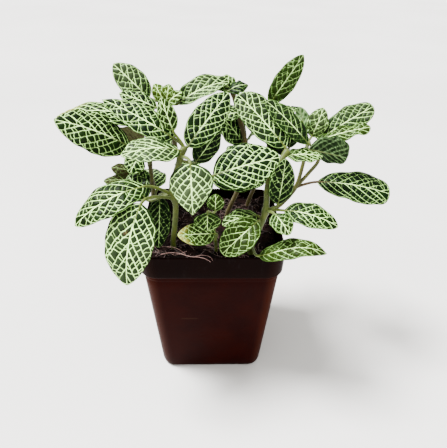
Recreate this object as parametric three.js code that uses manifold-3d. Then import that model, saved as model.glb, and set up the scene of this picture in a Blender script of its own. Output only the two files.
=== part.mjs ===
// Nerve plant in a small square nursery pot.
// Millimetres, +Z up. The origin is the centre of the pot's underside, and the pot's
// sides face along X and Y.

import * as THREE from 'three';
import { mergeVertices } from 'three/addons/utils/BufferGeometryUtils.js';
import Module from 'manifold-3d';

const wasm = await Module();
wasm.setup();

// Pot, a 7 x 7 x 8 cm square nursery pot
const POT_HEIGHT = 80;
const RIM_WIDTH = 70;
const COLLAR_FOOT_WIDTH = 68.6;
const BODY_TOP_WIDTH = 66;
const BODY_FOOT_WIDTH = 54.4;
const BASE_WIDTH = 51;
const COLLAR_HEIGHT = 12;
const FOOT_ROUNDING = 3.5;
const RIM_CORNER = 9;
const BASE_CORNER = 7;
const WALL = 1;
const FLOOR = 1.4;
const DRAIN_RADIUS = 3.5;
const DRAIN_OFFSET = 14;
const CORNER_STEPS = 5;

// Soil
const SOIL_LEVEL = 76;
const SOIL_BUMP = 0.8;
const SOIL_RINGS = [0.86, 0.66, 0.45, 0.24];
const CLEARANCE = 0.3;
const ROOT_FOOT = 67;
const HOLE_CLEARANCE = 0.5;
const HOLE_SIDES = 10;

// Leaves and stems
const BLADE = 0.7;
const MIDRIB_GROOVE = 0.1;
const STEM_SIDES = 6;
const STEM_STEP = 7;
const PETIOLE_SIDES = 5;
const PETIOLE_RADIUS = 0.75;
const PETIOLE_STEPS = 4;
const LARGE_LEAF = 19;
const LARGE_ROWS = [0.02, 0.12, 0.29, 0.48, 0.67, 0.85, 0.98];
const SMALL_ROWS = [0.02, 0.18, 0.44, 0.72, 0.96];
const LARGE_COLUMNS = [-1, -0.5, 0, 0.5, 1];
const SMALL_COLUMNS = [-1, 0, 1];
const WAVE_TURN = 2.4;

// Each leafy stem has one or more axes and its leaves. An axis is drawn from where it
// leaves the soil, or from where it forks, to its tip. A leaf leaves its axis at the
// fraction "from" of the axis's length. Its blade runs from base to tip, and its upper
// side looks towards "face". arch is how far the midrib rises above the straight line,
// and peak is where. sweep bends the midrib sideways. cup lifts the margins as a share
// of the half width, or lowers them where it is negative. belly is where the blade is
// widest. wave is the height of the margin's undulation.
const LEAFY_STEMS = [
  {
    name: 'stem_front_left',
    axes: [
      {
        radius: 1.4,
        path: [[-18.5, -20.5, 79], [-17, -22, 92], [-16.5, -22, 101], [-18, -21, 107.5], [-14.5, -20, 120],
          [-12, -19, 126.5]],
      },
    ],
    leaves: [
      { from: 0.93, base: [-9, -30, 124], tip: [-8, -40, 105.5], width: 18.5,
        face: [0, -8, 6], cup: -0.2, belly: 0.36 },
      { from: 1, base: [-10.5, -19, 127], tip: [7, -3, 146], width: 14.5,
        face: [1, -7.5, 6], arch: 1.5 },
      { from: 1, base: [-16.5, -17, 130], tip: [-47.5, -6, 143], width: 13,
        face: [0.5, -7, 7.5], arch: 2.5, belly: 0.38 },
      { from: 0.97, base: [-14, -22, 126.5], tip: [-36.5, -32, 128], width: 17.5,
        face: [0, -3, 10], arch: 2.5 },
      { from: 0.9, base: [-7.5, -15, 118], tip: [3, -8, 132], width: 11,
        face: [5, -5, 6], arch: 1.5 },
      { from: 1, base: [-16.5, -18, 133.5], tip: [-21.5, -13, 146], width: 8,
        face: [0, -9, 4], arch: 1 },
      { from: 0.6, base: [-29.5, -36, 108.5], tip: [-35.5, -52, 78.5], width: 21.5,
        face: [-1, -8, 6], arch: 2.5, sweep: 1.6 },
      { from: 0.63, base: [-29, -27, 112], tip: [-57.5, -38, 99], width: 16.5,
        face: [-1.5, -5, 8.5], arch: 4.5 },
      { from: 0.64, base: [0.5, -22, 115], tip: [29.5, -19, 122.5], width: 20.5,
        face: [0.5, -7, 7] },
      { from: 0.6, base: [0, -13, 108], tip: [26.5, -6, 106.5], width: 17,
        face: [0, -4, 9], arch: 1.5 },
      { from: 0.6, base: [-24.5, -14, 100.5], tip: [-25, -26, 79.5], width: 11,
        face: [2, -8, 2], arch: 1 },
      { from: 0.63, base: [-29.5, -22, 103], tip: [-38, -14, 111], width: 12,
        face: [-2, -6, 6], arch: 1 },
    ],
  },
  {
    name: 'stem_front_right',
    axes: [
      {
        radius: 1.5,
        path: [[18.5, -24.5, 79], [21, -25, 88.5], [24, -25, 98.5], [25, -21, 112], [29.5, -16.5, 118.5],
          [33.5, -13, 123]],
      },
    ],
    leaves: [
      { from: 1, base: [32.5, -12.5, 124.5], tip: [11.5, 3, 143.5], width: 16,
        face: [-1, -7, 7], cup: 0.05, belly: 0.52 },
      { from: 0.52, base: [29, -27, 103.5], tip: [31, -24, 124], width: 11.5,
        face: [1, -9, 3], arch: 1 },
      { from: 0.52, base: [27, -32, 101.5], tip: [32.5, -42, 97], width: 10,
        face: [0, -6, 8], arch: 1.5 },
      { from: 0.53, base: [32, -28, 101], tip: [54.5, -36, 97.5], width: 12.5,
        face: [0, -5, 8.5], arch: 3 },
      { from: 0.38, base: [20.5, -28, 95.5], tip: [4.5, -38, 84.5], width: 14.5,
        face: [-1, -7.5, 6.5], arch: 1.5, cup: 0.15, belly: 0.5 },
      { from: 0.44, base: [20.5, -24, 96], tip: [4.5, -29, 94], width: 11,
        face: [0, -3.5, 10], arch: 1.5 },
      { from: 0.2, base: [21, -36.5, 82.5], tip: [49.5, -42, 87.5], width: 10,
        face: [0, -5, 8.5], arch: 7, peak: 0.62 },
      { from: 1, base: [34, -9, 120], tip: [22, -5, 127.5], width: 9,
        face: [-2, -2, 8.5], arch: 1 },
      { from: 0.97, base: [33, -15, 121.5], tip: [49.5, -13, 120.5], width: 10,
        face: [0, -3, 10], arch: 1 },
      { from: 1, base: [35, -8, 122.5], tip: [36, 0, 134], width: 9, face: [3, -6, 4], arch: 1 },
    ],
  },
  {
    name: 'stem_right',
    axes: [
      { radius: 1.1, path: [[27, 3, 79], [36, 2, 88], [42, 1, 98], [44.5, 2, 109.5], [46, 3, 121.5]] },
      { radius: 1, fork: true, path: [[42, 1, 98], [48, 2, 105.5], [52.5, 4, 111.5], [52, 8, 118.5]] },
    ],
    leaves: [
      { from: 0.6, base: [52.5, 0, 101.5], tip: [86.5, -8, 99], width: 18.5,
        face: [0, -5, 8.5], arch: 2.5, cup: -0.2, belly: 0.62 },
      { from: 1, base: [43, -10, 125.5], tip: [23.5, -5, 143], width: 10.5,
        face: [-1, -6.5, 7.5], arch: 1.5, belly: 0.5 },
      { from: 1, base: [48.5, 8, 122], tip: [54, 14, 134.5], width: 11, face: [1, -8, 5], arch: 1 },
      { from: 1, base: [45.5, 8, 123.5], tip: [42, 14, 135], width: 8, face: [0, 7, 4], arch: 1 },
      { from: 1, base: [44.5, -6, 121], tip: [62, -10, 118.5], width: 16,
        face: [1, 8.5, 2.5], arch: 0.5, cup: 0.3, belly: 0.62 },
      { axis: 1, from: 1, base: [52.5, 9, 120], tip: [77.5, 12, 136], width: 14,
        face: [1, -6, 8], arch: 1.5, cup: -0.1, belly: 0.55, wave: 0.9 },
      { axis: 1, from: 0.98, base: [51, 3, 122], tip: [74, 1, 129.5], width: 8.5,
        face: [1, -4, 9], arch: 1, belly: 0.6, wave: 1.3 },
      { axis: 1, from: 1, base: [54, 10, 119], tip: [68, 34, 120], width: 16,
        face: [3, 3, 9], arch: 2.5 },
    ],
  },
  {
    name: 'stem_back_right',
    axes: [{ radius: 1.1, path: [[20, 19, 79], [26.5, 18, 99.5], [29.5, 17, 119.5], [29, 17, 131.5]] }],
    leaves: [
      { from: 1, base: [28, 17, 135.5], tip: [43.5, 24, 157], width: 11,
        face: [1, -8.5, 4], arch: 1.5 },
      { from: 0.9, base: [30, 22, 126], tip: [48, 44, 125.5], width: 16, face: [2, 4, 8.5], arch: 2.5 },
      { from: 0.5, base: [24, 24, 102], tip: [36, 50, 95], width: 16, face: [1, 5, 8], arch: 3 },
    ],
  },
  {
    name: 'stem_centre',
    axes: [
      {
        radius: 1.2,
        path: [[8, 6, 79], [14, 3, 98], [16.5, 2, 112], [16, 3, 120.5], [13, 8, 131], [9.5, 10, 142.5]],
      },
    ],
    leaves: [
      { from: 0.66, base: [15, 4, 120], tip: [4, 8, 132], width: 13, face: [0, -6, 7], arch: 1 },
      { from: 0.84, base: [12.5, 6.5, 134], tip: [4, 3, 132.5], width: 8,
        face: [0, -5, 8], arch: 1 },
      { from: 1, base: [7.5, 8.5, 143.5], tip: [16.5, 9.5, 146], width: 8.5,
        face: [0, -4, 8], arch: 1.5, cup: -0.3 },
      { from: 1, base: [9, 12, 142.5], tip: [2, 22, 146], width: 11, face: [0, -6, 8] },
      { from: 0.68, base: [17, 6, 121], tip: [23, 14, 122.5], width: 9, face: [-3, 7, 5], arch: 1 },
      { from: 0.8, base: [12, 13, 129], tip: [4, 44, 126], width: 16, face: [0, 5, 8.5], arch: 3 },
      { from: 0.55, base: [13, 10, 108], tip: [20, 42, 104], width: 17,
        face: [1, 5, 8.5], arch: 3 },
    ],
  },
  {
    name: 'stem_back_left',
    axes: [{ radius: 1.2, path: [[-13, 16, 79], [-16, 16, 100], [-20.5, 13, 125.5], [-22, 11, 136.5]] }],
    leaves: [
      { from: 1, base: [-16, 10, 137], tip: [8, 14.5, 146.5], width: 12.5,
        face: [0, -5.5, 8], arch: 3, cup: 0.2 },
      { from: 1, base: [-30, 14, 138.5], tip: [-46.5, 20, 152.5], width: 13.5,
        face: [-1, -8.5, 5], arch: 1 },
      { from: 1, base: [-22.5, 10, 138], tip: [-27, 12, 145.5], width: 7,
        face: [0, -8, 5], arch: 1 },
      { from: 1, base: [-21.5, 10, 138], tip: [-20, 12, 145.5], width: 7,
        face: [0, -8, 5], arch: 1 },
      { from: 1, base: [-21, 10, 137], tip: [-14, 9, 142.5], width: 7, face: [0, -6, 8], arch: 1 },
      { from: 1, base: [-26, 8, 135.5], tip: [-43.5, 12, 141], width: 9,
        face: [0, -6, 7], arch: 1 },
      { from: 0.97, base: [-20, 17, 134], tip: [-8, 42, 134.5], width: 15, face: [1, 4, 9], arch: 3 },
      { from: 0.7, base: [-22, 18, 113.5], tip: [-44, 38, 114.5], width: 17,
        face: [-3, 4, 9], arch: 3 },
      { from: 0.45, base: [-15, 21, 98], tip: [-10, 48, 90], width: 16, face: [0, 5, 8], arch: 3 },
    ],
  },
  {
    name: 'stem_left',
    axes: [
      {
        radius: 1.2,
        path: [[-25, 2, 79], [-29, 0, 88], [-29.5, 0, 99.5], [-30, 1, 109.5], [-30.5, 1, 117.5]],
      },
    ],
    leaves: [
      { from: 0.97, base: [-38.5, -3, 120.5], tip: [-67.5, -12, 136], width: 20.5,
        face: [-0.5, -6.5, 7.5], arch: 3.5, cup: -0.25 },
      { from: 1, base: [-31.5, 8, 128.5], tip: [-71, 2, 132.5], width: 17,
        face: [0, -3, 9.5], arch: 5, cup: -0.2 },
      { from: 1, base: [-31, 6, 116], tip: [-46, 10, 124.5], width: 13, face: [1, 7, 4], arch: 1 },
      { from: 0.85, base: [-33, -12, 119], tip: [-36.5, -17, 113.5], width: 10,
        face: [0, -8, 6], arch: 1 },
      { from: 0.62, base: [-36.5, -3, 102.5], tip: [-53, 0, 101.5], width: 9,
        face: [0, -4, 9], arch: 1 },
      { from: 0.66, base: [-36, 2, 104], tip: [-50, 6, 106], width: 9, face: [0, -4, 9], arch: 1 },
      { from: 0.6, base: [-31, -6, 101], tip: [-38.5, -6, 109], width: 11,
        face: [0, -7, 6], arch: 1 },
      { from: 0.88, base: [-34, 8, 111], tip: [-61, 26, 111], width: 17,
        face: [-3, 3, 9], arch: 3 },
      { from: 0.5, base: [-28, 6, 95], tip: [-39, 36, 91], width: 16, face: [-1, 5, 8], arch: 3 },
    ],
  },
  {
    name: 'shoot_front',
    axes: [{ radius: 0.9, path: [[2, -24, 79], [1, -26.5, 89], [0.5, -27.5, 99]] }],
    leaves: [
      { from: 0.5, base: [1.5, -30, 90], tip: [-15, -36, 93], width: 10.5,
        face: [0, -7.5, 6.5], arch: 1 },
      { from: 0.97, base: [-2, -33, 102.5], tip: [-2, -39, 97], width: 12,
        face: [0, -7, 7], arch: 1 },
      { from: 1, base: [1.5, -25, 99], tip: [1.5, -23, 106.5], width: 8,
        face: [0, -8.5, 5], arch: 0.5 },
    ],
  },
];

const LOOKS = {
  pot: new THREE.MeshStandardMaterial({ color: 0x1c0f0d, roughness: 0.35, metalness: 0 }),
  soil: new THREE.MeshStandardMaterial({ color: 0x241a1a, roughness: 1, metalness: 0 }),
  plant: new THREE.MeshStandardMaterial({ color: 0x3f7a3c, roughness: 0.5, metalness: 0 }),
};

function vector(values) {
  return new THREE.Vector3(...values);
}

// Turns a closed geometry into a solid
function toSolid(geometry) {
  geometry.deleteAttribute('normal');
  geometry.deleteAttribute('uv');
  const merged = mergeVertices(geometry);
  return new wasm.Manifold(new wasm.Mesh({
    numProp: 3,
    vertProperties: new Float32Array(merged.attributes.position.array),
    triVerts: new Uint32Array(merged.index.array),
  }));
}

function toMesh(name, solid, material) {
  const mesh = solid.getMesh();
  const geometry = new THREE.BufferGeometry();
  geometry.setAttribute('position', new THREE.BufferAttribute(new Float32Array(mesh.vertProperties), 3));
  geometry.setIndex(new THREE.BufferAttribute(new Uint32Array(mesh.triVerts), 1));
  geometry.computeVertexNormals();
  const result = new THREE.Mesh(geometry, material);
  result.name = name;
  return result;
}

// Geometry from a list of points and the triangles that join them
function shell(points, triangles) {
  const geometry = new THREE.BufferGeometry();
  geometry.setFromPoints(points);
  geometry.setIndex(triangles);
  return geometry;
}

// Points of a square with round corners, anticlockwise from above
function roundedSquare(width, corner, z) {
  const centre = width / 2 - corner;
  const points = [];
  for (let side = 0; side < 4; side += 1) {
    for (let step = 0; step <= CORNER_STEPS; step += 1) {
      const angle = ((side + step / CORNER_STEPS) * Math.PI) / 2;
      const quarter = ((side + 0.5) * Math.PI) / 2;
      const x = Math.sign(Math.cos(quarter)) * centre + corner * Math.cos(angle);
      const y = Math.sign(Math.sin(quarter)) * centre + corner * Math.sin(angle);
      points.push(new THREE.Vector3(x, y, z));
    }
  }
  return points;
}

// Closed skin through a stack of rings, with a fan over the first and the last ring
function loft(rings) {
  const count = rings[0].length;
  const points = rings.flat();
  const triangles = [];
  for (let level = 0; level + 1 < rings.length; level += 1) {
    for (let i = 0; i < count; i += 1) {
      const a = level * count + i;
      const b = level * count + ((i + 1) % count);
      triangles.push(a, b, b + count, a, b + count, a + count);
    }
  }
  const last = (rings.length - 1) * count;
  const foot = points.push(centreOf(rings[0])) - 1;
  const head = points.push(centreOf(rings.at(-1))) - 1;
  for (let i = 0; i < count; i += 1) {
    const next = (i + 1) % count;
    triangles.push(foot, next, i, head, last + i, last + next);
  }
  return shell(points, triangles);
}

function centreOf(ring) {
  const centre = new THREE.Vector3();
  ring.forEach((point) => centre.add(point));
  return centre.divideScalar(ring.length);
}

function cylinder(radius, bottom, top, x, y, sides) {
  const geometry = new THREE.CylinderGeometry(radius, radius, top - bottom, sides);
  geometry.rotateX(Math.PI / 2);
  geometry.translate(x, y, (top + bottom) / 2);
  return toSolid(geometry);
}

// Outer width and corner radius of the pot at a height below the collar
function bodyAt(z) {
  const share = (z - FOOT_ROUNDING) / (POT_HEIGHT - COLLAR_HEIGHT - FOOT_ROUNDING);
  return {
    width: THREE.MathUtils.lerp(BODY_FOOT_WIDTH, BODY_TOP_WIDTH, share),
    corner: THREE.MathUtils.lerp(BASE_CORNER, RIM_CORNER - 1, share),
  };
}

// Square ring of the pot's inner face, shrunk by a margin on every side
function innerRing(z, margin) {
  const shrink = WALL + margin;
  const { width, corner } = bodyAt(z);
  return roundedSquare(width - 2 * shrink, corner - shrink, z);
}

function makePot() {
  const collarFoot = POT_HEIGHT - COLLAR_HEIGHT;
  const shoulder = bodyAt(collarFoot - 0.6);
  const foot = bodyAt(FOOT_ROUNDING);
  const rings = [
    roundedSquare(BASE_WIDTH, BASE_CORNER - 1.5, 0),
    roundedSquare(BASE_WIDTH + 2, BASE_CORNER - 0.6, 0.9),
    roundedSquare(foot.width, foot.corner, FOOT_ROUNDING),
    roundedSquare(shoulder.width, shoulder.corner, collarFoot - 0.6),
    roundedSquare(COLLAR_FOOT_WIDTH - 0.8, RIM_CORNER - 0.6, collarFoot - 0.4),
    roundedSquare(COLLAR_FOOT_WIDTH, RIM_CORNER - 0.2, collarFoot + 0.4),
    roundedSquare(RIM_WIDTH - 0.2, RIM_CORNER, POT_HEIGHT - 1),
    roundedSquare(RIM_WIDTH - 0.6, RIM_CORNER, POT_HEIGHT),
    roundedSquare(RIM_WIDTH - 2 * WALL, RIM_CORNER - WALL, POT_HEIGHT),
    roundedSquare(COLLAR_FOOT_WIDTH - 2 * WALL, RIM_CORNER - 0.2 - WALL, collarFoot + 0.8),
    innerRing(collarFoot - 0.4, 0),
    innerRing(FOOT_ROUNDING, 0),
    innerRing(FLOOR, 0.6),
  ];
  let pot = toSolid(loft(rings));
  for (const [x, y] of [[1, 1], [-1, 1], [-1, -1], [1, -1]]) {
    pot = pot.subtract(cylinder(DRAIN_RADIUS, -1, FLOOR + 1, x * DRAIN_OFFSET, y * DRAIN_OFFSET, 12));
  }
  return toMesh('pot', pot, LOOKS.pot);
}

// Height of the soil's uneven surface
function soilHeight(x, y) {
  const ripple = Math.sin(x * 0.23 + 1) * Math.cos(y * 0.19) + 0.6 * Math.sin(x * 0.41 - y * 0.37);
  return SOIL_LEVEL + SOIL_BUMP * ripple;
}

function makeSoil() {
  const edge = SOIL_LEVEL - 1.5;
  const rings = [
    innerRing(FLOOR + CLEARANCE, CLEARANCE + 0.8),
    innerRing(FOOT_ROUNDING + CLEARANCE, CLEARANCE),
    innerRing(edge, CLEARANCE),
  ];
  const rim = rings.at(-1);
  for (const share of SOIL_RINGS) {
    rings.push(rim.map((point) => {
      const x = point.x * share;
      const y = point.y * share;
      return new THREE.Vector3(x, y, soilHeight(x, y));
    }));
  }
  let soil = toSolid(loft(rings));
  for (const { axes } of LEAFY_STEMS) {
    for (const { radius, path, fork } of axes) {
      if (!fork) {
        const [x, y] = path[0];
        const bottom = ROOT_FOOT - CLEARANCE;
        soil = soil.subtract(cylinder(radius + HOLE_CLEARANCE, bottom, POT_HEIGHT, x, y, HOLE_SIDES));
      }
    }
  }
  return toMesh('soil', soil, LOOKS.soil);
}

// Curve of a stem's axis. A stem that stands in the soil starts with a straight root end.
function axisCurve({ path, fork }) {
  const points = path.map(vector);
  if (!fork) {
    const [x, y, z] = path[0];
    points.unshift(new THREE.Vector3(x, y, z - 2));
    points.unshift(new THREE.Vector3(x, y, ROOT_FOOT));
  }
  return new THREE.CatmullRomCurve3(points);
}

function tube(curve, radius, sides, steps) {
  const circle = new THREE.Shape();
  circle.absarc(0, 0, radius, 0, 2 * Math.PI);
  const outline = new THREE.Shape(circle.getSpacedPoints(sides).slice(0, sides));
  return new THREE.ExtrudeGeometry(outline, { steps, bevelEnabled: false, extrudePath: curve });
}

// A hump from 0 at both ends to 1 at the peak
function hump(s, peak) {
  const rise = Math.max(1, peak / (1 - peak));
  const fall = Math.max(1, (1 - peak) / peak);
  return (s ** rise * (1 - s) ** fall) / (peak ** rise * (1 - peak) ** fall);
}

// Half width of an egg-shaped outline as a share of its largest
function outlineAt(s, belly) {
  const rise = 0.56;
  const fall = (rise * (1 - belly)) / belly;
  return (s ** rise * (1 - s) ** fall) / (belly ** rise * (1 - belly) ** fall);
}

// The blade's middle surface: s runs from base to tip, t from margin to margin
class BladeSurface {
  constructor(leaf, phase) {
    Object.assign(this, { arch: 2, peak: 0.5, sweep: 0, cup: -0.15, belly: 0.45, wave: 0.5 }, leaf);
    this.phase = phase;
    this.start = vector(leaf.base);
    this.chord = vector(leaf.tip).sub(this.start);
    const forward = this.chord.clone().normalize();
    const face = vector(leaf.face);
    this.up = face.addScaledVector(forward, -face.dot(forward)).normalize();
    this.side = forward.cross(this.up);
  }

  spine(s) {
    const point = this.start.clone().addScaledVector(this.chord, s);
    point.addScaledVector(this.up, this.arch * hump(s, this.peak));
    return point.addScaledVector(this.side, this.sweep * 4 * s * (1 - s));
  }

  at(s, t) {
    const step = 0.01;
    const along = this.spine(Math.min(1, s + step)).sub(this.spine(Math.max(0, s - step))).normalize();
    const across = this.side.clone().addScaledVector(along, -this.side.dot(along)).normalize();
    const normal = across.clone().cross(along);
    const half = (this.width / 2) * outlineAt(s, this.belly);
    const reach = Math.abs(t);
    const ripple = Math.sin(5 * Math.PI * s + this.phase + 1.3 * Math.sign(t));
    const lift = half * (this.cup * reach ** 1.5 + MIDRIB_GROOVE * reach)
      + this.wave * ripple * t * t * Math.min(1, half / 4);
    return this.spine(s)
      .addScaledVector(across, half * t * (1 - 0.12 * Math.abs(this.cup) * reach))
      .addScaledVector(normal, lift);
  }

  normalAt(s, t) {
    const step = 0.01;
    const along = this.at(Math.min(1, s + step), t).sub(this.at(Math.max(0, s - step), t));
    const across = this.at(s, Math.min(1, t + step)).sub(this.at(s, Math.max(-1, t - step)));
    return across.cross(along).normalize();
  }
}

// A thin waved blade, split into triangles alike on both faces
function makeBlade(surface) {
  const large = surface.chord.length() > LARGE_LEAF;
  const rows = large ? LARGE_ROWS : SMALL_ROWS;
  const columns = large ? LARGE_COLUMNS : SMALL_COLUMNS;
  const points = [];
  for (const side of [1, -1]) {
    for (const s of rows) {
      for (const t of columns) {
        points.push(surface.at(s, t).addScaledVector(surface.normalAt(s, t), (side * BLADE) / 2));
      }
    }
  }
  const width = columns.length;
  const layer = rows.length * width;
  const triangles = [];
  for (let i = 0; i + 1 < rows.length; i += 1) {
    for (let j = 0; j + 1 < width; j += 1) {
      const a = i * width + j;
      const [b, c, d] = [a + 1, a + width + 1, a + width];
      triangles.push(a, b, c, a, c, d);
      triangles.push(layer + a, layer + c, layer + b, layer + a, layer + d, layer + c);
    }
  }
  const border = [];
  for (let j = 0; j < width; j += 1) border.push(j);
  for (let i = 1; i < rows.length; i += 1) border.push(i * width + width - 1);
  for (let j = width - 2; j >= 0; j -= 1) border.push((rows.length - 1) * width + j);
  for (let i = rows.length - 2; i > 0; i -= 1) border.push(i * width);
  border.forEach((a, k) => {
    const b = border[(k + 1) % border.length];
    triangles.push(a, layer + a, layer + b, a, layer + b, b);
  });
  return toSolid(shell(points, triangles));
}

// The leaf's stalk bends out of the stem and runs on under the blade as its midrib
function makePetiole(surface, axis, from) {
  const root = axis.getPointAt(from);
  const growth = axis.getTangentAt(from);
  const reach = surface.start.distanceTo(root);
  const heading = surface.spine(0.08).sub(surface.start).normalize();
  const bend = new THREE.CubicBezierCurve3(
    root,
    root.clone().lerp(surface.start, 0.3).addScaledVector(growth, 0.1 * reach),
    surface.start.clone().addScaledVector(heading, -0.22 * reach),
    surface.start,
  );
  const points = [...bend.getPoints(3), surface.spine(0.1), surface.spine(0.22)];
  return toSolid(tube(new THREE.CatmullRomCurve3(points), PETIOLE_RADIUS, PETIOLE_SIDES, PETIOLE_STEPS));
}

function makeLeafyStem({ name, axes, leaves }) {
  const curves = axes.map(axisCurve);
  let solid = null;
  const fuse = (piece) => {
    solid = solid ? solid.add(piece) : piece;
  };
  curves.forEach((curve, i) => {
    const steps = Math.round(curve.getLength() / STEM_STEP);
    fuse(toSolid(tube(curve, axes[i].radius, STEM_SIDES, steps)));
  });
  leaves.forEach((leaf, i) => {
    const surface = new BladeSurface(leaf, WAVE_TURN * i);
    fuse(makePetiole(surface, curves[leaf.axis ?? 0], leaf.from));
    fuse(makeBlade(surface));
  });
  return toMesh(name, solid, LOOKS.plant);
}

const plant = new THREE.Group();
plant.name = 'potted_nerve_plant';
plant.add(makePot(), makeSoil(), ...LEAFY_STEMS.map(makeLeafyStem));

export default plant;
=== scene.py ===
"""Looks of the potted nerve plant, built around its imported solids."""

from itertools import combinations

import bpy
import numpy as np
from mathutils import Matrix


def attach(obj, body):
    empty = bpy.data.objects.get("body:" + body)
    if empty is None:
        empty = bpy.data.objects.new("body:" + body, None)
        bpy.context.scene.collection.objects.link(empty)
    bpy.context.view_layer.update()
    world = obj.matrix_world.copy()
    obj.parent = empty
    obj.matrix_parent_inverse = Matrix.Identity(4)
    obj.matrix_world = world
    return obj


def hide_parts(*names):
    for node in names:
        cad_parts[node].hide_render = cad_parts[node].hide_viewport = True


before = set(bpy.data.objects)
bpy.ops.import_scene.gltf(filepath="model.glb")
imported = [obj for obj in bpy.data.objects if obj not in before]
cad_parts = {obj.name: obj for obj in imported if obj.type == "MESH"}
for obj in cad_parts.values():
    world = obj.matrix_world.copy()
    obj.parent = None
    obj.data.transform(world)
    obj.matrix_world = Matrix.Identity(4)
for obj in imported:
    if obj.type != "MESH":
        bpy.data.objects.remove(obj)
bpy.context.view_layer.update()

# Sizes are in millimetres, as in the solids' source. Only what Blender holds is in metres.
MM = 0.001

# From the foot's rounding to the collar, the pot's half width and corner radius grow evenly.
FOOT_ROUNDING = 3.5
COLLAR_FOOT = 68.0
FOOT_HALF, SHOULDER_HALF = 27.2, 33.0
FOOT_CORNER, SHOULDER_CORNER = 7.0, 8.0
WALL = 1.0
DRAIN_RADIUS, DRAIN_OFFSET = 3.5, 14

SOIL_LEVEL = 76.0
SOIL_CLEARANCE = 0.3
ROOT_FOOT = 67.0

LEAF = {
    "axis": 0, "arch": 1.0, "peak": 0.5, "sweep": 0.0, "cup": -0.15, "belly": 0.45, "wave": 0.5,
    "young": 0.0, "dark": 0.0, "pale": 0.0, "yellow": 0.0, "brown": 0.0, "stalk": 0.0, "veins": 1.0,
    "spot": None,
}


def leaf(at, base, tip, width, face, **more):
    """A row of the table. The leaf grows on its stem's axis at the fraction "at".

    Its blade runs from base to tip and looks towards face. The names of the last two
    lines of LEAF are its tone and painted light: young is light green, stalk is how brown
    its stalk is, dark paints shade on leaves that lie in shadow, and pale paints a greyish sheen.
    """
    return LEAF | {"at": at, "base": base, "tip": tip, "width": width, "face": face} | more


def stem(brown, axes, *leaves):
    return {"brown": brown, "axes": axes, "leaves": leaves}


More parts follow.
